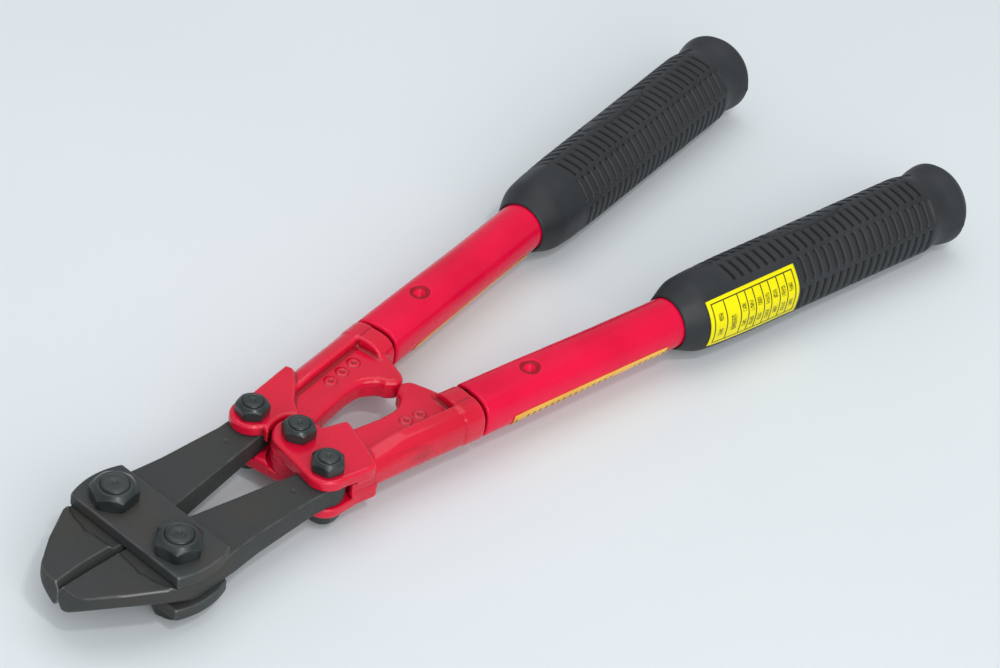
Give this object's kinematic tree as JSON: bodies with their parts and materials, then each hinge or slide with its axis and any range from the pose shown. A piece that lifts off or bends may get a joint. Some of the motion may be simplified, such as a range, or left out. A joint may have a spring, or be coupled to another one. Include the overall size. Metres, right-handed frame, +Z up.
{
  "type": "bolt cutters",
  "caption": "Compact bolt cutters: two forged jaws tied by straps, red fork castings on tubular handles with ribbed black rubber grips, lying shut and opening as one linkage.",
  "frame": {"origin": "centre of the tool's outline, on the surface that it lies on", "axes": "+X along the tool to the jaw tips, +Y across to the left handle, +Z up along the bolts, through the nuts"},
  "size_m": [0.3416, 0.1206, 0.0274],
  "materials": {
    "jaw_black": "forged steel with a black oxide finish, bright where worn",
    "fastener_black": "black oxide bolts and nuts, slightly oily",
    "red_paint": "glossy red enamel, thick in the corners of the castings",
    "grip_rubber": "semi-matt black moulded rubber with ribs",
    "label_yellow": "printed yellow paper label under a satin film"
  },
  "bodies": {
    "head": {"strap_top": "jaw_black", "strap_bottom": "jaw_black", "jaw_bolt_left": "fastener_black", "jaw_bolt_right": "fastener_black", "jaw_nut_left": "fastener_black", "jaw_nut_right": "fastener_black"},
    "jaw_left": {"jaw_left": "jaw_black"},
    "jaw_right": {"jaw_right": "jaw_black"},
    "handle_left": {"fork_left": "red_paint", "link_bolt_left": "fastener_black", "link_nut_left": "fastener_black", "centre_bolt": "fastener_black", "centre_nut": "fastener_black", "tube_left": "red_paint", "grip_left": "grip_rubber", "capacity_label": "label_yellow", "tube_label_left": "label_yellow"},
    "handle_right": {"fork_right": "red_paint", "link_bolt_right": "fastener_black", "link_nut_right": "fastener_black", "tube_right": "red_paint", "grip_right": "grip_rubber", "tube_label_right": "label_yellow"}
  },
  "joints": [
    {"name": "jaw_left_pivot", "type": "hinge", "parent": "head", "child": "jaw_left", "pos_m": [0.14014, 0.0127, 0.0137], "axis": [0, 0, 1], "range_deg": [0, 4.68]},
    {"name": "jaw_right_pivot", "type": "hinge", "parent": "head", "child": "jaw_right", "pos_m": [0.14014, -0.0127, 0.0137], "axis": [0, 0, -1], "range_deg": [0, 4.68]},
    {"name": "handle_left_fold", "type": "hinge", "parent": "jaw_left", "child": "handle_left", "pos_m": [0.08604, 0.015, 0.0137], "axis": [0, 0, -1], "range_deg": [0, 40]},
    {"name": "handle_right_fold", "type": "hinge", "parent": "jaw_right", "child": "handle_right", "pos_m": [0.08604, -0.015, 0.0137], "axis": [0, 0, 1], "range_deg": [0, 40]}
  ],
  "couplings": [
    {"joint": "jaw_left_pivot", "follows": "handle_left_fold", "ratio": 0.1168},
    {"joint": "jaw_right_pivot", "follows": "handle_left_fold", "ratio": 0.1168},
    {"joint": "handle_right_fold", "follows": "handle_left_fold", "ratio": 1}
  ]
}
